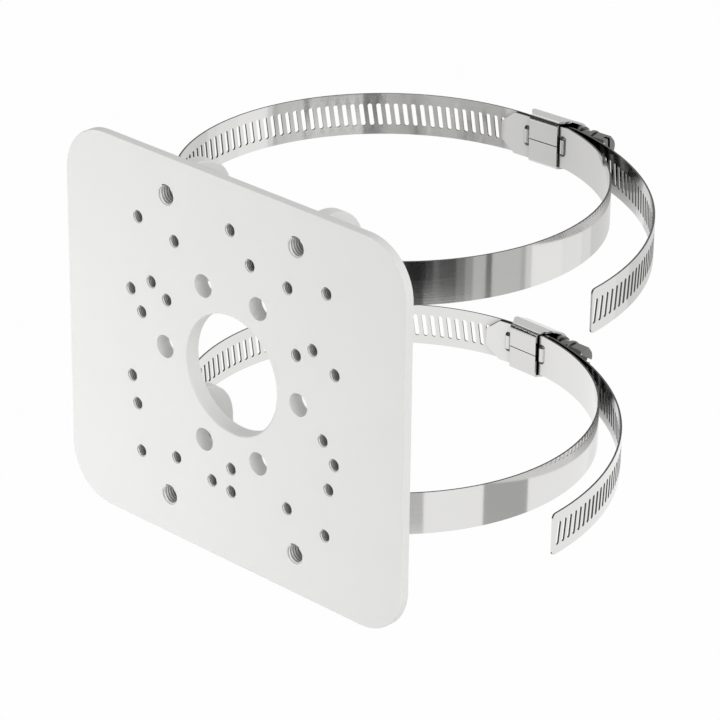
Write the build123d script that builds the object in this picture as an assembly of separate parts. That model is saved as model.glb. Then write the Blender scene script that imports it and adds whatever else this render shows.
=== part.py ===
from build123d import *

import math
import os

# Camera pole mount bracket: a cast plate with two worm-drive band clamps.
# Millimetres. The origin is the centre of the cable opening in the plate's
# front face, +X to the right seen from the front, +Y towards the pole, +Z up.

# How close to a place or a size an edge must be to be picked by it
pick_reach = 0.01

# Plate
plate_width = 170.6
plate_height = 152.0
plate_below_opening = 0.6
plate_corner_radius = 20.0
rim_thickness = 3.2
middle_thickness = 6.3
middle_inset = 9.0
front_edge_round = 0.4
middle_edge_round = 1.2
opening_radius = 23.1
opening_edge_round = 0.6

# Holes through the plate
small_thread_radius = 2.5
large_thread_radius = 4.0
clearance_radius = 4.45
large_hole_depth = 10.5
large_hole_spread_x = 32.56
large_hole_spread_z = 60.4
boss_radius = 6.6
boss_height = 4.7
pair_spread = 34.0
cross_radius = 33.7
cross_angle = 24.3
outer_square_spread = 47.4
upper_rectangle_x = 28.57
upper_rectangle_z = 43.5
side_rectangle_x = 51.7
side_rectangle_z = 17.6
inner_triangle_radius = 37.9
middle_triangle_radius = 47.2
outer_triangle_radius = 56.7
turned_square_radius = 47.2
turned_square_angle = 77.9

# Lugs on the back of the plate
lug_centre_x = 32.9
lug_thickness = 5.8
lug_centre_z = 45.1
lug_height = 48.8
lug_reach = 31.0
lug_corner_radius = 16.0
lug_edge_round = 0.8
window_height = 20.8
window_near_y = 10.4
window_width = 8.4
window_corner_radius = 2.0

# Clamp band
band_width = 16.8
band_thickness = 0.7
layer_step = 1.6
bend_radius = 12.0
end_chamfer_along = 3.0
end_chamfer_across = 2.4
tail_corner_radius = 1.6
slot_pitch = 3.39
slot_length = 9.2
slot_width = 1.7
slot_corner = 0.5
slot_slant = 7.8
slot_below_middle = 0.3
slot_count = 106

# Stamped ridges that hold the housing on the band
ridge_radius = 1.5
ridge_height = 0.95
ridge_length = 8.6
ridge_gap = 0.3
ridge_above_middle = 0.6

# Folded housing
sheet_thickness = 0.8
tunnel_length = 18.4
tail_clearance = 2.3
flap_length = 13.4
flap_gap = 0.45
fold_gap = 0.5
fold_radius_below = 1.3
fold_radius_above = 2.2
fold_depth_above = 2.6
fold_depth_below = 1.4
seam_width = 0.35
seam_below_middle = 0.1
lip_length = 0.9

# Worm screw
worm_radius = 5.0
worm_core_radius = 3.7
worm_gap = 1.35
worm_side_gap = 0.25
worm_above_middle = 1.2
worm_crest = 0.9
journal_radius = 3.6
tip_overhang = 0.8
tip_chamfer = 0.5
collar_radius = 5.2
collar_length = 1.6
collar_gap = 0.6
neck_radius = 4.3
neck_length = 4.3
flange_radius = 5.0
flange_length = 1.3
flange_chamfer = 0.4
head_across_flats = 8.0
head_length = 7.0
head_chamfer = 0.8
driver_slot_width = 1.3
driver_slot_depth = 2.2

# How each clamp was left: the ring's place along the plate and up it, its gap
# to the plate, its radius and how much wider its near half is, the turn of the
# housing, the bend and curl of the free end, its first slot, and how far the
# plain end reaches past the housing's middle.
clamps = {
    "upper": {
        "along_plate": -3.9,
        "plate_gap": 0.4,
        "level": 43.4,
        "tilt": (0.0, 0.0),
        "ring_radius": 79.75,
        "near_spread": 0.8,
        "lean": 3.2,
        "housing_place": 11.9,
        "housing_lift": 0.4,
        "tail_kink": 12.7,
        "tail_radius": 118.3,
        "tail_sweep": 76.0,
        "first_slot": 2.1,
        "end_reach": 20.8,
        "head_turn": 3.0,
    },
    "lower": {
        "along_plate": -0.9,
        "plate_gap": 0.39,
        "level": -46.05,
        "tilt": (0.6, 0.35),
        "ring_radius": 79.16,
        "near_spread": -0.56,
        "lean": -0.66,
        "housing_place": -1.2,
        "housing_lift": -0.1,
        "tail_kink": 9.8,
        "tail_radius": 113.3,
        "tail_sweep": 77.85,
        "first_slot": 3.4,
        "end_reach": 18.6,
        "head_turn": 57.0,
    },
}


def on_circle(radius, angles):
    """Points in the plate's plane on a circle about the opening."""
    return [
        (radius * math.cos(math.radians(a)), radius * math.sin(math.radians(a)))
        for a in angles
    ]


def four_corners(x, z):
    """The corners of a rectangle about the opening."""
    return [(sx * x, sz * z) for sx in (-1, 1) for sz in (-1, 1)]


def front_plane(depth):
    """A drawing plane parallel to the plate, with its normal towards the pole."""
    return Plane(origin=(0, depth, 0), x_dir=(1, 0, 0), z_dir=(0, 1, 0))


def rounded_block(width, height, radius, near, far):
    """A block with rounded corners, on the plate's middle, between two depths."""
    sketch = front_plane(near) * Pos(0, plate_below_opening) * RectangleRounded(width, height, radius)
    return extrude(sketch, far - near)


def bores(points, radius, near, far):
    """Round tools through the plate at points given as (x, z)."""
    plane = front_plane(near)
    return [
        extrude(plane * Pos(x, -z) * Circle(radius), far - near) for x, z in points
    ]


def edges_at_depth(part, depth):
    """The edges that lie flat in one plane parallel to the plate."""
    return part.edges().filter_by_position(Axis.Y, depth - pick_reach, depth + pick_reach)


def lug(side, level):
    """One lug, with its window for the clamp band."""
    root = rim_thickness
    x_near = side * lug_centre_x - lug_thickness / 2
    profile = Plane(origin=(x_near, 0, level * lug_centre_z), x_dir=(0, 1, 0), z_dir=(1, 0, 0))
    body = RectangleRounded(2 * lug_reach, lug_height, lug_corner_radius)
    back_half = Pos(root + lug_reach, 0) * Rectangle(2 * lug_reach, lug_height)
    ear = extrude(profile * (body & back_half), lug_thickness)
    outer_edges = ear.edges().filter_by_position(Axis.Y, root + pick_reach, lug_reach + pick_reach)
    ear = fillet(outer_edges, lug_edge_round)
    window = Pos(window_near_y + window_width / 2, 0) * RectangleRounded(
        window_width, window_height, window_corner_radius
    )
    return ear - extrude(profile * window, lug_thickness)


def mount_plate():
    """The cast plate, its thicker middle, bosses, lugs and holes."""
    plate = rounded_block(plate_width, plate_height, plate_corner_radius, 0, rim_thickness)
    plate = fillet(edges_at_depth(plate, 0), front_edge_round)
    middle = rounded_block(
        plate_width - 2 * middle_inset,
        plate_height - 2 * middle_inset,
        plate_corner_radius - middle_inset,
        rim_thickness / 2,
        middle_thickness,
    )
    middle = fillet(edges_at_depth(middle, middle_thickness), middle_edge_round)
    plate += middle
    large_holes = four_corners(large_hole_spread_x, large_hole_spread_z)
    plate += bores(large_holes, boss_radius, rim_thickness, middle_thickness + boss_height)
    plate += [lug(side, level) for side in (-1, 1) for level in (-1, 1)]

    opening = bores([(0, 0)], opening_radius, 0, middle_thickness)[0]
    plate -= opening
    rim = edges_at_depth(plate, 0).filter_by(GeomType.CIRCLE)
    rim = rim.filter_by(lambda edge: abs(edge.radius - opening_radius) < pick_reach)
    plate = fillet(rim, opening_edge_round)

    quarter_turns = [turned_square_angle + 90 * k for k in range(4)]
    small_holes = (
        four_corners(outer_square_spread, outer_square_spread)
        + [(-upper_rectangle_x, upper_rectangle_z), (upper_rectangle_x, upper_rectangle_z)]
        + [(-upper_rectangle_x, -upper_rectangle_z), (upper_rectangle_x, -upper_rectangle_z)]
        + four_corners(side_rectangle_x, side_rectangle_z)
        + on_circle(inner_triangle_radius, (30, 150, 270))
        + on_circle(middle_triangle_radius, (30, 150, 270))
        + on_circle(outer_triangle_radius, (90, 210, 330))
        + on_circle(turned_square_radius, quarter_turns)
    )
    cross = (cross_angle - 90, 90 - cross_angle, cross_angle + 90, 270 - cross_angle)
    clearance_holes = [(-pair_spread, 0), (pair_spread, 0)] + on_circle(cross_radius, cross)
    plate -= bores(small_holes, small_thread_radius, 0, middle_thickness)
    plate -= bores(clearance_holes, clearance_radius, 0, middle_thickness)
    plate -= bores(large_holes, large_thread_radius, 0, large_hole_depth)
    return plate


class Run:
    """One straight run or clockwise arc of a band, seen from above."""

    def __init__(self, start, heading, length, radius=0.0):
        self.start = start
        self.heading = heading
        self.length = length
        self.radius = radius

    def at(self, distance, offset=0.0):
        """Point and heading at a distance along the run, set off to the outside."""
        if self.radius == 0.0:
            heading = self.heading
            along, out = distance, offset
        else:
            heading = self.heading - distance / self.radius
            turn = self.heading - heading
            reach = self.radius + offset
            along = reach * math.sin(turn)
            out = reach * math.cos(turn) - self.radius
        cos_h, sin_h = math.cos(self.heading), math.sin(self.heading)
        x = self.start[0] + along * cos_h - out * sin_h
        y = self.start[1] + along * sin_h + out * cos_h
        return (x, y), heading

    def edge(self, offset):
        """The run's line or arc, set off to the outside."""
        first = self.at(0, offset)[0]
        middle = self.at(self.length / 2, offset)[0]
        last = self.at(self.length, offset)[0]
        if self.radius == 0.0:
            return Line(first, last)
        return ThreePointArc(first, middle, last)


def chain(start, heading, steps):
    """Joins (length, radius) steps into runs that meet tangentially."""
    runs = []
    for length, radius in steps:
        run = Run(start, heading, length, radius)
        runs.append(run)
        start, heading = run.at(length)
    return runs


def band_runs(clamp):
    """The band's route, from its plain inner end round to its free end."""
    ring = clamp["ring_radius"]
    near = ring + clamp["near_spread"]
    lean = math.radians(clamp["lean"])
    inner_line = ring - layer_step
    # The near half's centre, in the housing's own directions.
    shift_along = (near - ring) * math.sin(lean)
    shift_out = (near - ring) * math.cos(lean)
    drop = inner_line - shift_out - bend_radius
    bend_along = math.sqrt((near - bend_radius) ** 2 - drop**2)
    bend_angle = math.atan2(drop, bend_along)
    # The plain end follows the ring up to the housing's straight stretch.
    end_angle = math.asin((clamp["end_reach"] - clamp["housing_place"]) / inner_line)
    direction = lean + math.pi / 2 + end_angle
    start = (inner_line * math.cos(direction), inner_line * math.sin(direction))
    tail_start = clamp["housing_place"] + tunnel_length / 2 + tail_clearance
    steps = [
        (end_angle * inner_line, inner_line),
        (bend_along + shift_along, 0.0),
        ((math.pi / 2 - bend_angle) * bend_radius, bend_radius),
        ((bend_angle + lean + math.pi / 2) * near, near),
        ((math.pi - lean) * ring, ring),
        (tail_start, 0.0),
        (math.radians(clamp["tail_kink"]) * bend_radius, bend_radius),
        (math.radians(clamp["tail_sweep"]) * clamp["tail_radius"], clamp["tail_radius"]),
    ]
    return chain(start, lean + end_angle, steps)


def place_on_band(runs, from_end):
    """Point and heading at a distance back from the free end."""
    for run in reversed(runs):
        if from_end <= run.length:
            return run.at(run.length - from_end)
        from_end -= run.length
    return runs[0].at(0)


def slot_tools(runs, first_slot):
    """One slanted tool with cut corners for each slot of the band."""
    upright = Rectangle(slot_width, slot_length)
    slot = Rot(0, 0, slot_slant) * chamfer(upright.vertices(), slot_corner)
    tools = []
    for k in range(slot_count):
        (x, y), heading = place_on_band(runs, first_slot + k * slot_pitch)
        face_plane = Plane(
            origin=(x, y, -slot_below_middle),
            x_dir=(math.cos(heading), math.sin(heading), 0),
            z_dir=(math.sin(heading), -math.cos(heading), 0),
        )
        tools.append(extrude(face_plane * slot, band_thickness, both=True))
    return tools


def in_housing(clamp, part):
    """Turns a shape from the housing's directions into the ring's."""
    return Rot(0, 0, clamp["lean"]) * part


def inner_face(clamp, along):
    """The inner layer's inner face, as a distance out from the ring's centre."""
    middle_line = clamp["ring_radius"] - layer_step
    if along < 0:
        middle_line = math.sqrt(middle_line**2 - along**2)
    return middle_line - band_thickness / 2


def flap_face(clamp):
    """The outside of the housing's inner flap, just clear of the band at both its ends."""
    flap_start = clamp["housing_place"] - flap_length / 2
    return inner_face(clamp, flap_start) - flap_gap - sheet_thickness


def locking_ridge(clamp, side):
    """A round-ended ridge on the band's inner face, beside the housing's flap."""
    along = clamp["housing_place"] + side * (flap_length / 2 + ridge_gap + ridge_radius)
    face = inner_face(clamp, along)
    centre = face - ridge_height + ridge_radius
    half = ridge_length / 2 - ridge_radius
    bar = Pos(along, centre, ridge_above_middle) * Cylinder(ridge_radius, 2 * half)
    for end in (-half, half):
        bar += Pos(along, centre, ridge_above_middle + end) * Sphere(ridge_radius)
    keep = Pos(along, face - ridge_height + band_thickness / 4, ridge_above_middle) * Box(
        3 * ridge_radius, 2 * ridge_height + band_thickness / 2, 2 * ridge_length
    )
    return in_housing(clamp, bar & keep)


def end_plane(place, away):
    """A drawing plane on the band's face at one of its ends, +X pointing off the end."""
    (x, y), heading = place
    along = (away * math.cos(heading), away * math.sin(heading), 0)
    return Plane(origin=(x, y, 0), x_dir=along, z_dir=(along[1], -along[0], 0))


def round_corner_tools(place):
    """Tools that round the two corners of the free end."""
    spare = band_thickness
    side = tail_corner_radius + spare
    centre = band_width / 2 - tail_corner_radius
    plane = end_plane(place, 1)
    tools = []
    for level in (-1, 1):
        block = Pos(spare - side / 2, level * (centre + side / 2)) * Rectangle(side, side)
        corner = block - Pos(-tail_corner_radius, level * centre) * Circle(tail_corner_radius)
        tools.append(extrude(plane * corner, band_thickness, both=True))
    return tools


def cut_corner_tools(place):
    """Tools that cut the two corners of the plain end."""
    plane = end_plane(place, -1)
    across, along = 2 * end_chamfer_across, 2 * end_chamfer_along
    tools = []
    for level in (-1, 1):
        top = level * (band_width / 2 + end_chamfer_across)
        outline = Polyline(
            (end_chamfer_along, top),
            (end_chamfer_along - 2 * along, top),
            (end_chamfer_along, top - level * 2 * across),
            (end_chamfer_along, top),
        )
        tools.append(extrude(plane * make_face(outline), band_thickness, both=True))
    return tools


def band(clamp):
    """The clamp band: one strip, slotted along its free end."""
    runs = band_runs(clamp)
    outer = [run.edge(band_thickness / 2) for run in runs]
    inner = [run.edge(-band_thickness / 2) for run in runs]
    ends = [
        Line(runs[0].at(0, band_thickness / 2)[0], runs[0].at(0, -band_thickness / 2)[0]),
        Line(
            runs[-1].at(runs[-1].length, band_thickness / 2)[0],
            runs[-1].at(runs[-1].length, -band_thickness / 2)[0],
        ),
    ]
    section = make_face(outer + inner + ends)
    strip = extrude(Pos(0, 0, -band_width / 2) * section, band_width)
    strip += [locking_ridge(clamp, side) for side in (-1, 1)]
    corners = round_corner_tools(runs[-1].at(runs[-1].length)) + cut_corner_tools(runs[0].at(0))
    return strip - corners - slot_tools(runs, clamp["first_slot"])


def worm_axis(clamp):
    """The worm's distance out from the ring's centre, and its height."""
    out = clamp["ring_radius"] + band_thickness / 2 + worm_gap + worm_radius
    return out, clamp["housing_lift"] + worm_above_middle


def housing_outline(clamp, inwards):
    """The housing's cross-section, drawn in by a distance: a hull of its folds."""
    ring = clamp["ring_radius"]
    back = flap_face(clamp)
    reach = band_width / 2 + fold_gap + sheet_thickness
    bottom = clamp["housing_lift"] - reach
    top = clamp["housing_lift"] + reach
    low, high = fold_radius_below, fold_radius_above
    worm_out, worm_height = worm_axis(clamp)
    rounds = [
        (back + low, bottom + low, low),
        (ring + fold_depth_below, bottom + low, low),
        (back + high, top - high, high),
        (ring + fold_depth_above, top - high, high),
        (worm_out, worm_height, worm_radius + worm_side_gap + sheet_thickness),
    ]
    circles = [Pos(y, z) * Circle(radius - inwards) for y, z, radius in rounds]
    return make_hull([edge for circle in circles for edge in circle.edges()])


def housing(clamp):
    """The folded sheet that wraps the band and holds the worm."""
    middle = clamp["housing_place"]
    profile = Plane(origin=(middle - tunnel_length / 2, 0, 0), x_dir=(0, 1, 0), z_dir=(1, 0, 0))
    wall = housing_outline(clamp, 0) - housing_outline(clamp, sheet_thickness)
    shell = extrude(profile * wall, tunnel_length)

    # Lips turned in over the screw's journals keep it from moving endways.
    worm_out, worm_height = worm_axis(clamp)
    lip = Circle(worm_radius + worm_side_gap + sheet_thickness / 2)
    lip -= Circle(journal_radius + worm_side_gap)
    lip &= Pos(worm_radius, 0) * Rectangle(2 * worm_radius, 4 * worm_radius)
    for start in (-tunnel_length / 2, tunnel_length / 2 - lip_length):
        lip_plane = Plane(
            origin=(middle + start, worm_out, worm_height), x_dir=(0, 1, 0), z_dir=(1, 0, 0)
        )
        shell += extrude(lip_plane * lip, lip_length)

    back = flap_face(clamp)
    seam_height = clamp["housing_lift"] - seam_below_middle
    seam = Box(tunnel_length, 2 * sheet_thickness, seam_width)
    shell -= Pos(middle, back + sheet_thickness / 2, seam_height) * seam
    cut_depth = clamp["ring_radius"] + fold_depth_below
    for side in (-1, 1):
        flap_end = middle + side * flap_length / 2
        tunnel_end = middle + side * tunnel_length / 2
        beyond = middle + side * tunnel_length
        corner = Polyline(
            (flap_end, back - sheet_thickness),
            (flap_end, back + 2 * sheet_thickness),
            (tunnel_end, cut_depth),
            (beyond, cut_depth),
            (beyond, back - sheet_thickness),
            (flap_end, back - sheet_thickness),
        )
        shell -= extrude(make_face(corner), band_width, both=True)
    return in_housing(clamp, shell)


def screw_outline():
    """Half of the screw's long section without its head: worm, journals, collar, neck, flange."""
    reach = tunnel_length / 2
    worm_end = reach - lip_length - worm_side_gap
    tip = -reach - tip_overhang
    outline = [
        (tip, 0),
        (tip, journal_radius - tip_chamfer),
        (tip + tip_chamfer, journal_radius),
        (-worm_end, journal_radius),
        (-worm_end, worm_core_radius),
    ]
    turns = int(2 * worm_end // slot_pitch)
    flank = (slot_pitch - worm_crest) / 3
    for k in range(turns):
        start = (k - turns / 2) * slot_pitch + flank / 2
        outline += [
            (start, worm_core_radius),
            (start + flank, worm_radius),
            (start + flank + worm_crest, worm_radius),
            (start + 2 * flank + worm_crest, worm_core_radius),
        ]
    outline += [(worm_end, worm_core_radius), (worm_end, journal_radius)]
    collar = reach + collar_gap
    neck = collar + collar_length
    flange = neck + neck_length
    head = flange + flange_length
    outline += [
        (collar, journal_radius),
        (collar, collar_radius),
        (neck, collar_radius),
        (neck, neck_radius),
        (flange, neck_radius),
        (flange, flange_radius),
        (head - flange_chamfer, flange_radius),
        (head, flange_radius - flange_chamfer),
        (head, 0),
        (tip, 0),
    ]
    return outline, head


def worm_screw(clamp):
    """The worm with its journals, neck, flange and slotted hexagon head."""
    outline, head_start = screw_outline()
    screw = revolve(make_face(Polyline(*outline)), Axis.X)
    head_end = head_start + head_length
    corner_radius = head_across_flats / 2 / math.cos(math.pi / 6)
    hexagon = Plane.YZ * RegularPolygon(corner_radius, 6)
    blank = Pos(head_start, 0, 0) * extrude(hexagon, head_length)
    turned = Polyline(
        (head_start, 0),
        (head_start, corner_radius),
        (head_end - head_chamfer, corner_radius),
        (head_end, corner_radius - head_chamfer),
        (head_end, 0),
        (head_start, 0),
    )
    head = blank & revolve(make_face(turned), Axis.X)
    slot = Box(2 * driver_slot_depth, driver_slot_width, 2 * head_across_flats)
    head -= Pos(head_end, 0, 0) * slot
    screw += Rot(clamp["head_turn"], 0, 0) * head
    worm_out, worm_height = worm_axis(clamp)
    return in_housing(clamp, Pos(clamp["housing_place"], worm_out, worm_height) * screw)


def on_bracket(clamp, part):
    """Sets a clamp's piece on the bracket, with the clamp's sag and place."""
    tilt_x, tilt_y = clamp["tilt"]
    depth = middle_thickness + clamp["plate_gap"] + band_thickness / 2 + clamp["ring_radius"]
    centre = Pos(clamp["along_plate"], depth, clamp["level"])
    return centre * Rot(0, tilt_y, 0) * Rot(tilt_x, 0, 0) * part


os.makedirs("parts", exist_ok=True)
nodes = {"mount_plate": mount_plate()}
for name, clamp in clamps.items():
    nodes[name + "_clamp_band"] = on_bracket(clamp, band(clamp))
    nodes[name + "_clamp_housing"] = on_bracket(clamp, housing(clamp))
    nodes[name + "_worm_screw"] = on_bracket(clamp, worm_screw(clamp))
for node, part in nodes.items():
    export_step(part, os.path.join("parts", node + ".step"))
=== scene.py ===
import math

import bpy
from mathutils import Matrix, Vector


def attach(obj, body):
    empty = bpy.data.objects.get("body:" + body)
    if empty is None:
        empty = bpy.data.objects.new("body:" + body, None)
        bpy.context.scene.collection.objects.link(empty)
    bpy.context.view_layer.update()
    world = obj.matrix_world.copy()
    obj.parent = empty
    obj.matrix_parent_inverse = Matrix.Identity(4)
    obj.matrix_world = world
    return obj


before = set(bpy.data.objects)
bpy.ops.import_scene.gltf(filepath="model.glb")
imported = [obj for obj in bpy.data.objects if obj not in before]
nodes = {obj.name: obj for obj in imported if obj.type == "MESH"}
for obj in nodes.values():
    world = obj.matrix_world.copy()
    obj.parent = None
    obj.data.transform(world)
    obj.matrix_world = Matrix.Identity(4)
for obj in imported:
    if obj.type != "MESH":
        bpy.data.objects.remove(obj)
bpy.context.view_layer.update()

# The camera stands to the right of the bracket, a little above it, and looks
# down across the plate's front face to the two clamps behind it.
camera_place = (0.842876, -0.825389, 0.573417)
camera_turn = (64.32181, -0.61859, 43.64710)
camera_lens = 182.787
camera_sensor = 36.0
camera_near = 0.01

camera_data = bpy.data.cameras.new("camera")
camera_data.lens = camera_lens
camera_data.sensor_width = camera_sensor
camera_data.clip_start = camera_near
camera = bpy.data.objects.new("camera", camera_data)
camera.location = camera_place
camera.rotation_euler = [math.radians(angle) for angle in camera_turn]
bpy.context.scene.collection.objects.link(camera)
bpy.context.scene.camera = camera
bpy.context.scene.view_settings.view_transform = "Standard"


# The studio: a wide pale floor well below the bracket, an even white room, a
# broad soft lamp low at the right, a panel low at the left front and a weaker
# lamp behind.
class Net:
    """A node tree, or one socket in it. Sums and products of sockets add Math nodes."""

    def __init__(self, tree, socket=None):
        self.tree = tree
        self.socket = socket

    def node(self, kind, settings=None, inputs=None, output=0):
        """Adds a node: its settings first, then the values or links of its sockets."""
        new = self.tree.nodes.new(kind)
        for name, value in (settings or {}).items():
            setattr(new, name, value)
        for name, value in (inputs or {}).items():
            if isinstance(value, Net):
                self.tree.links.new(value.socket, new.inputs[name])
            else:
                new.inputs[name].default_value = value
        if not len(new.outputs):
            return self
        return Net(self.tree, new.outputs[output])

    def maths(self, operation, first, second=0.0):
        """Adds one Math node."""
        return self.node("ShaderNodeMath", {"operation": operation}, {0: first, 1: second})

    def __add__(self, other):
        return self.maths("ADD", self, other)

    def __radd__(self, other):
        return self.maths("ADD", other, self)

    def __mul__(self, other):
        return self.maths("MULTIPLY", self, other)

    def __rmul__(self, other):
        return self.maths("MULTIPLY", other, self)


def emptied(owner):
    """The node tree of a new world or material, with nothing in it."""
    owner.use_nodes = True
    owner.node_tree.nodes.clear()
    return Net(owner.node_tree)


def studio_sight(net):
    """1 for what the camera and polished metal see, 0 for light that falls on the bracket."""
    seen = 0.0
    for ray in ("Is Camera Ray", "Is Glossy Ray", "Is Transmission Ray"):
        seen = net.maths("MAXIMUM", net.node("ShaderNodeLightPath", output=ray), seen)
    return seen


room_light = 0.595
white = (1.0, 1.0, 1.0, 1.0)

world = bpy.data.worlds.new("white_room")
room = emptied(world)
brightness = room_light + (1.0 - room_light) * studio_sight(room)
background = room.node("ShaderNodeBackground", None, {"Color": white, "Strength": brightness})
room.node("ShaderNodeOutputWorld", None, {"Surface": background})
bpy.context.scene.world = world

floor_level = -0.30
floor_size = 14.0
floor_tone = (0.8, 0.8, 0.8, 1.0)
floor_shadow_share = 0.03

floor_material = bpy.data.materials.new("pale_floor")
floor_net = emptied(floor_material)
floor_matt = floor_net.node("ShaderNodeBsdfDiffuse", None, {"Color": floor_tone})
floor_white = floor_net.node("ShaderNodeEmission", None, {"Color": white, "Strength": 1.0})
floor_seen = studio_sight(floor_net) * (1.0 - floor_shadow_share)
floor_mix = floor_net.node("ShaderNodeMixShader", None, {0: floor_seen, 1: floor_matt, 2: floor_white})
floor_net.node("ShaderNodeOutputMaterial", None, {"Surface": floor_mix})

bpy.ops.object.select_all(action="DESELECT")
bpy.ops.mesh.primitive_plane_add(size=floor_size, location=(0, 0, floor_level))
floor = bpy.context.object
floor.name = "floor"
bpy.ops.object.transform_apply(location=True)
floor.data.materials.append(floor_material)


def studio_lamp(name, kind, strength, place, in_gloss):
    """A lamp that shines from a place towards the bracket."""
    data = bpy.data.lights.new(name, kind)
    data.energy = strength
    lamp = bpy.data.objects.new(name, data)
    lamp.rotation_euler = Vector(place).to_track_quat("Z", "Y").to_euler()
    lamp.visible_glossy = in_gloss
    bpy.context.scene.collection.objects.link(lamp)
    return lamp


lamp_softness = 50.0
panel_place = (-0.30, -0.40, -0.20)
panel_size = 0.40

soft_lamp = studio_lamp("soft_lamp", "SUN", strength=1.90, place=(0.92, -0.30, 0.20), in_gloss=True)
soft_lamp.data.angle = math.radians(lamp_softness)
left_panel = studio_lamp("left_panel", "AREA", strength=1.75, place=panel_place, in_gloss=False)
left_panel.data.shape = "SQUARE"
left_panel.data.size = panel_size
left_panel.location = panel_place
back_lamp = studio_lamp("back_lamp", "SUN", strength=0.75, place=(-0.25, 0.90, 0.15), in_gloss=False)
back_lamp.data.angle = math.radians(lamp_softness)


# Grey cards, as a photographer sets round polished metal to give it an edge.
# Most lie on the floor, two stand at the left and behind; only gloss sees them.
def card(name, shade, place, size, turn=(0.0, 0.0, 0.0)):
    """One card that shows in polished metal and nowhere else."""
    paper = bpy.data.materials.new(name)
    net = emptied(paper)
    glow = net.node("ShaderNodeEmission", None, {"Color": (shade, shade, shade, 1.0), "Strength": 1.0})
    net.node("ShaderNodeOutputMaterial", None, {"Surface": glow})
    bpy.ops.object.select_all(action="DESELECT")
    bpy.ops.mesh.primitive_plane_add(size=1.0, location=place)
    sheet = bpy.context.object
    sheet.name = name
    sheet.scale = (*size, 1.0)
    sheet.rotation_euler = [math.radians(angle) for angle in turn]
    bpy.ops.object.transform_apply(location=True, rotation=True, scale=True)
    sheet.data.materials.append(paper)
    sheet.visible_camera = False
    sheet.visible_diffuse = False
    sheet.visible_shadow = False
    sheet.visible_transmission = False
    return sheet


def pick(mesh, wanted):
    """Selects just the vertices of the mesh in edit mode that a test on their place accepts."""
    bpy.ops.mesh.select_all(action="DESELECT")
    bpy.ops.object.mode_set(mode="OBJECT")
    for vertex in mesh.vertices:
        vertex.select = wanted(vertex.co)
    bpy.ops.object.mode_set(mode="EDIT")


card_depth = 1.0
card_step = 4.0
card_lift = 0.0001


def floor_card(name, shade, centre, azimuths, distances):
    """A card on the floor: a sector of a ring round a place on the bracket."""
    near, far = distances
    start, sweep = math.radians(azimuths[0]), math.radians(azimuths[1] - azimuths[0])
    sheet = card(name, shade, (0, 0, 0), (far - near, card_depth))
    # One edge is kept, laid on the X axis and swung round into the sector.
    bpy.ops.object.mode_set(mode="EDIT")
    pick(sheet.data, lambda co: co.y > 0)
    bpy.ops.mesh.delete(type="VERT")
    bpy.ops.mesh.select_all(action="SELECT")
    bpy.ops.transform.translate(value=((near + far) / 2, card_depth / 2, 0))
    bpy.ops.object.mode_set(mode="OBJECT")
    fan = sheet.modifiers.new("fan", "SCREW")
    fan.axis = "Z"
    fan.angle = sweep
    fan.steps = fan.render_steps = math.ceil(sweep / math.radians(card_step))
    bpy.ops.object.modifier_apply(modifier="fan")
    # Each new card lies a little above the ones before it.
    lift = floor_level + card_lift * len(bpy.data.materials)
    sheet.data.transform(Matrix.Translation((*centre, lift)) @ Matrix.Rotation(start, 4, "Z"))


near_band = (0.062, 0.042)
housing_front = (0.0, 0.165)

# The centre, the near and far edge in metres, and then each card of the group:
# its two azimuths from +X towards +Y in degrees, and its shade.
floor_cards = {
    "upper_near": (near_band, (0.722, 1.10), (
        (-42.0, -29.5, 0.010),
        (-29.5, -25.5, 0.035),
        (-25.5, -22.0, 0.12),
        (-22.0, -12.5, 0.075),
        (-12.5, -7.5, 0.19),
        (-7.5, -3.0, 0.34),
        (-3.0, 4.5, 0.54),
        (4.5, 8.0, 0.19),
        (8.0, 26.0, 0.60),
        (26.0, 29.0, 0.50),
        (29.0, 33.0, 0.75),
        (55.0, 72.0, 0.94),
        (72.0, 82.0, 0.87),
        (82.0, 150.0, 0.74),
    )),
    "upper_far": (near_band, (0.55, 0.710), (
        (-60.0, -30.5, 0.40),
        (-30.5, 30.0, 0.80),
    )),
    "upper_far_top": (near_band, (0.710, 0.722), (
        (-60.0, -30.5, 0.06),
        (-30.5, 30.0, 0.66),
        (3.0, 9.0, 0.30),
    )),
    "lower_near": (near_band, (0.425, 0.55), (
        (-40.0, -29.0, 0.57),
        (7.6, 37.2, 0.46),
    )),
    "flap": (housing_front, (0.72, 1.10), (
        (-218.0, -100.0, 0.76),
    )),
    "front": (near_band, (0.68, 0.80), (
        (-94.0, -68.0, 0.54),
    )),
}
for group, (centre, reach, sheets) in floor_cards.items():
    for number, (start, end, shade) in enumerate(sheets, 1):
        floor_card(f"{group}_card_{number}", shade, centre, (start, end), reach)
card("left_wall", shade=0.045, place=(-0.78, -0.28, 0.47), size=(1.3, 1.15), turn=(60.0, 0.0, -60.0))
card("back_wall", shade=0.72, place=(-0.79, 0.91, 0.57), size=(1.0, 0.8), turn=(64.3, 0.0, 226.6))


# The mount plate: one aluminium casting with four lugs on its back. It is
# powder coated in a light warm grey, with a fine even texture and no gloss.
mm = 0.001
corner_samples = 8


def object_place(net):
    """The place on the piece, in its own coordinates."""
    return net.node("ShaderNodeTexCoord", output="Object")


def noise(place, scale, detail):
    """A cloudy pattern over a place, from 0 to 1."""
    return place.node("ShaderNodeTexNoise", None, {"Vector": place, "Scale": scale, "Detail": detail})


def mixed(share, low, high):
    """A colour between two others, by a share from 0 to 1."""
    return share.node("ShaderNodeMix", {"data_type": "RGBA"}, {0: share, 6: low, 7: high}, output=2)


def openness(net, reach):
    """1 on a free face, and less in a corner or a groove, as far as it reaches."""
    samples = {"samples": corner_samples}
    return net.node("ShaderNodeAmbientOcclusion", samples, {"Distance": reach}, output="AO")


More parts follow.
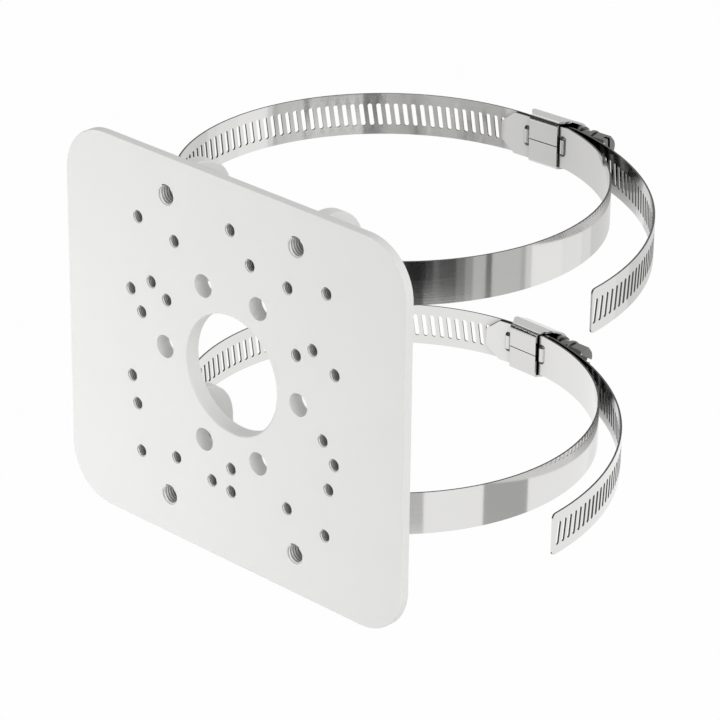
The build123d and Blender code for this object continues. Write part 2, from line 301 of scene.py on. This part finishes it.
def relief(height, strength, depth):
    """A bump that follows a height from 0 to 1."""
    return height.node(
        "ShaderNodeBump", None, {"Strength": strength, "Distance": depth, "Height": height}
    )


def surface(net, sockets):
    """The finish itself, from the values or patterns of its sockets."""
    skin = net.node("ShaderNodeBsdfPrincipled", None, sockets)
    net.node("ShaderNodeOutputMaterial", None, {"Surface": skin})


def dress(name, material):
    """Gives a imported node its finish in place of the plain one."""
    slots = nodes[name].data.materials
    slots.clear()
    slots.append(material)


coat_light = (0.712, 0.710, 0.702, 1.0)
coat_dark = (0.688, 0.686, 0.678, 1.0)
# Painted shade: the coat's colour turns dark grey in holes, in corners and near the lugs, by how enclosed
# the place is.
coat_painted_corner_shade = (0.26, 0.26, 0.257, 1.0)
coat_shade_reach = 6.0 * mm
coat_texture_depth = 0.12 * mm
coat_roughness = 0.46
coat_roughness_spread = 0.12
peel_share = 0.7

powder_coat = bpy.data.materials.new("powder_coat")
coat = emptied(powder_coat)
coat_place = object_place(coat)
coat_drift = noise(coat_place, scale=30.0, detail=2.0)
coat_peel = noise(coat_place, scale=900.0, detail=1.0)
coat_grain = noise(coat_place, scale=3200.0, detail=2.0)
coat_colour = mixed(coat_drift, coat_dark, coat_light)
coat_texture = coat_peel * peel_share + coat_grain * (1.0 - peel_share)
surface(coat, {
    # painted shade in holes and corners, mixed into the coat's own colour
    "Base Color": mixed(openness(coat, coat_shade_reach), coat_painted_corner_shade, coat_colour),
    "Roughness": coat_grain * coat_roughness_spread + coat_roughness,
    "Normal": relief(coat_texture, strength=0.25, depth=coat_texture_depth),
})
dress("mount_plate", powder_coat)


# The screw threads in the plate: twenty-five small ones and four large ones,
# cut into the casting after it was coated, so their flanks are bare metal.
plate_through = 6.3 * mm
large_thread_depth = 10.4 * mm
mouth_depth = 0.12 * mm
mouth_set_back = 0.02 * mm
lining_wall = 0.05 * mm
thread_start = 55.0
thread_edge_angle = 25.0
spare_turns = 2
weld_reach = 0.002 * mm
pick_reach = 0.001 * mm


def cut_thread(name, crest, root, bore, pitch, depth, steps):
    """A thread's flanks as a thin lining about the Y axis, flared to the bore at its mouth."""
    bpy.ops.object.select_all(action="DESELECT")
    bpy.ops.mesh.primitive_plane_add(size=pitch, location=(0, 0, 0))
    thread = bpy.context.object
    thread.name = name
    # One edge of the plane becomes the profile of a turn: five points along it,
    # the middle three drawn out to the root and the middle one dissolved.
    bpy.ops.object.mode_set(mode="EDIT")
    bpy.ops.mesh.select_mode(type="VERT")
    pick(thread.data, lambda co: co.x < 0)
    bpy.ops.mesh.delete(type="VERT")
    bpy.ops.mesh.select_all(action="SELECT")
    bpy.ops.transform.translate(value=(crest - pitch / 2, -pitch, 0))
    bpy.ops.mesh.subdivide(number_cuts=3)
    root_flat = pitch / 8
    three_points = pitch * 0.3
    one_point = pitch * 0.05
    pick(thread.data, lambda co: abs(co.y + pitch) < three_points)
    bpy.ops.transform.translate(value=(root - crest, 0, 0))
    pick(thread.data, lambda co: abs(co.y + pitch) < one_point)
    bpy.ops.mesh.dissolve_verts()
    pick(thread.data, lambda co: abs(co.y + pitch) < three_points)
    bpy.ops.transform.resize(value=(1, root_flat / (pitch / 2), 1), center_override=(root, -pitch, 0))
    bpy.ops.object.mode_set(mode="OBJECT")
    turns = thread.modifiers.new("turns", "SCREW")
    turns.axis = "Y"
    turns.screw_offset = pitch
    turns.iterations = math.ceil(depth / pitch) + spare_turns
    turns.steps = steps
    turns.render_steps = steps
    turns.use_merge_vertices = True
    turns.merge_threshold = weld_reach
    bpy.ops.object.modifier_apply(modifier="turns")
    # The turns are cut off at the mouth and at the depth, and the mouth is flared.
    bpy.ops.object.mode_set(mode="EDIT")
    bpy.ops.mesh.select_all(action="SELECT")
    bpy.ops.mesh.remove_doubles(threshold=weld_reach)
    bpy.ops.mesh.bisect(plane_co=(0, mouth_depth, 0), plane_no=(0, 1, 0), clear_inner=True)
    bpy.ops.mesh.select_all(action="SELECT")
    bpy.ops.mesh.bisect(plane_co=(0, depth, 0), plane_no=(0, 1, 0), clear_outer=True)
    pick(thread.data, lambda co: abs(co.y - mouth_depth) < pick_reach)
    to_mouth = (0, mouth_set_back - mouth_depth, 0)
    bpy.ops.mesh.extrude_edges_move(TRANSFORM_OT_translate={"value": to_mouth})
    flare = (bore + mouth_set_back) / crest
    bpy.ops.transform.resize(value=(flare, 1, flare), center_override=(0, 0, 0))
    bpy.ops.mesh.select_all(action="SELECT")
    bpy.ops.object.mode_set(mode="OBJECT")
    first = thread.data.polygons[0]
    if first.normal.x * first.center.x + first.normal.z * first.center.z > 0:
        bpy.ops.object.mode_set(mode="EDIT")
        bpy.ops.mesh.flip_normals()
        bpy.ops.object.mode_set(mode="OBJECT")
    wall = thread.modifiers.new("wall", "SOLIDIFY")
    wall.thickness = lining_wall
    wall.offset = -1
    bpy.ops.object.modifier_apply(modifier="wall")
    bpy.ops.object.shade_smooth_by_angle(angle=math.radians(thread_edge_angle))
    return thread


def on_circle(radius, angles):
    """Places on a circle about the cable opening."""
    return [(radius * math.cos(math.radians(a)), radius * math.sin(math.radians(a))) for a in angles]


def four_corners(x, z):
    """The corners of a rectangle about the cable opening."""
    return [(sx * x, sz * z) for sx in (-1, 1) for sz in (-1, 1)]


# Places of the holes, in millimetres across and up from the cable opening.
outer_square_spread = 47.4
upper_rectangle = (28.57, 43.5)
side_rectangle = (51.7, 17.6)
large_rectangle = (32.56, 60.4)
inner_circle = 37.9
shared_circle = 47.2
outer_circle = 56.7
square_turn = 77.9
small_places = (
    four_corners(outer_square_spread, outer_square_spread)
    + four_corners(*upper_rectangle)
    + four_corners(*side_rectangle)
    + on_circle(inner_circle, (30, 150, 270))
    + on_circle(shared_circle, (30, 150, 270))
    + on_circle(outer_circle, (90, 210, 330))
    + on_circle(shared_circle, [square_turn + 90 * quarter for quarter in range(4)])
)
large_places = four_corners(*large_rectangle)

groove_reach = 0.6 * mm
hole_reach = 6.0 * mm
hole_shade_share = 0.7
# Painted shade: the grooves and the deep part of each hole are mixed towards near black by how enclosed they
# are.
groove_painted_shade = (0.002, 0.002, 0.002, 1.0)
flank_tone = (0.95, 0.95, 0.94, 1.0)
chatter_depth = 0.02 * mm
cut_roughness = 0.35
cut_roughness_spread = 0.2

cut_metal = bpy.data.materials.new("cut_metal")
cut = emptied(cut_metal)
chatter = noise(object_place(cut), scale=2400.0, detail=2.0)
groove = openness(cut, groove_reach)
hole = openness(cut, hole_reach)
# painted light on the open flanks, painted shade in the grooves and deep in the hole
painted_daylight = groove * groove * groove * (hole * hole_shade_share + (1.0 - hole_shade_share))
surface(cut, {
    "Base Color": mixed(painted_daylight, groove_painted_shade, flank_tone),
    "Metallic": 0.15,
    "Roughness": chatter * cut_roughness_spread + cut_roughness,
    "Normal": relief(chatter, strength=0.3, depth=chatter_depth),
})

thread_kinds = {
    "small_thread": (small_places, {
        "crest": 2.14 * mm,
        "root": 2.47 * mm,
        "bore": 2.5 * mm,
        "pitch": 0.8 * mm,
        "depth": plate_through,
        "steps": 24,
    }),
    "large_thread": (large_places, {
        "crest": 3.48 * mm,
        "root": 3.96 * mm,
        "bore": 4.0 * mm,
        "pitch": 1.25 * mm,
        "depth": large_thread_depth,
        "steps": 32,
    }),
}
for kind, (places, sizes) in thread_kinds.items():
    model = cut_thread(kind, **sizes)
    model.data.materials.append(cut_metal)
    for number, (x, z) in enumerate(places, 1):
        thread = model.copy()
        thread.data = model.data.copy()
        thread.name = f"{kind}_{number:02d}"
        turned = Matrix.Rotation(math.radians(thread_start), 4, "Y")
        thread.data.transform(Matrix.Translation((x * mm, 0, z * mm)) @ turned)
        bpy.context.scene.collection.objects.link(thread)
        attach(thread, "bracket")
    bpy.data.objects.remove(model)


# The two clamp bands: strips of polished stainless spring steel, with fine
# lines along their length from rolling, and slots punched from the free end on.
edge_lean = (0.06, 0.11)
# Painted shade: edges and slot walls that lean up or down are made near black; only their extra roughness is
# the dullness of a sheared edge.
edge_painted_shade = (0.10, 0.10, 0.10, 1.0)
edge_roughness = 0.2
# Painted shade: under laps, in corners and between the parts, the steel's colour is darkened by how enclosed
# the place is.
lap_shade_reach = 12.0 * mm
lap_shade_share = 0.12
line_share = 0.6
line_dark_share = 0.93
line_roughness = 0.06
cloud_roughness = 0.03


def darker(colour, share):
    """A share of a colour's light."""
    return [shade * share for shade in colour[:3]] + [1.0]


def steel(name, colour, roughness, line_scale, line_depth, shear_and_shade_share=0.0):
    """Bare stainless steel with fine lines along it, sheared edges that are rougher and painted near black
    as shade, and painted shade under laps and in corners.
    """
    material = bpy.data.materials.new(name)
    net = emptied(material)
    facing = net.node("ShaderNodeNewGeometry", output="Normal")
    upward = net.node("ShaderNodeSeparateXYZ", None, {0: facing}, output="Z")
    lean = net.maths("ABSOLUTE", upward)
    level = net.node("ShaderNodeMapRange", None, {0: lean, 1: edge_lean[0], 2: edge_lean[1]})
    # rougher sheared edges, with painted shade on them
    shear_and_shade = level * shear_and_shade_share
    place = object_place(net)
    along = net.node("ShaderNodeMapping", None, {"Vector": place, "Scale": line_scale})
    lines = noise(along, scale=1.0, detail=3.0)
    cloud = noise(place, scale=60.0, detail=2.0)
    rolled = lines * line_share + cloud * (1.0 - line_share)
    tone = mixed(rolled, darker(colour, line_dark_share), colour)
    # painted shade under laps and in corners
    tone_with_lap_shade = mixed(openness(net, lap_shade_reach), darker(colour, lap_shade_share), tone)
    surface(net, {
        "Base Color": mixed(shear_and_shade, tone_with_lap_shade, edge_painted_shade),
        "Metallic": 1.0,
        "Roughness": lines * line_roughness + cloud * cloud_roughness + roughness + shear_and_shade * edge_roughness,
        "Normal": relief(lines, strength=0.4, depth=line_depth),
    })
    return material


band_steel = steel(
    "band_steel",
    colour=(0.79, 0.785, 0.775, 1.0),
    roughness=0.03,
    line_scale=(18.0, 18.0, 5200.0),
    line_depth=0.004 * mm,
    shear_and_shade_share=1.0,
)
for clamp in ("upper", "lower"):
    dress(clamp + "_clamp_band", band_steel)


# The housings: one pressed stainless sheet each, folded round the band and
# drawn up into the tunnel that holds the screw.
housing_steel = steel(
    "housing_steel",
    colour=(0.74, 0.735, 0.725, 1.0),
    roughness=0.12,
    line_scale=(60.0, 60.0, 2600.0),
    line_depth=0.01 * mm,
)
for clamp in ("upper", "lower"):
    dress(clamp + "_clamp_housing", housing_steel)


# The worm screws: turned from stainless bar, with a hexagon head and a slot
# for a driver across its end.
# Painted shade: the screw's steel is given a dark colour, near 0.2, that stands in for the dark reflections
# on its facets.
screw_steel = steel(
    "screw_steel",
    colour=(0.20, 0.199, 0.196, 1.0),
    roughness=0.10,
    line_scale=(2600.0, 60.0, 60.0),
    line_depth=0.01 * mm,
)
for clamp in ("upper", "lower"):
    dress(clamp + "_worm_screw", screw_steel)
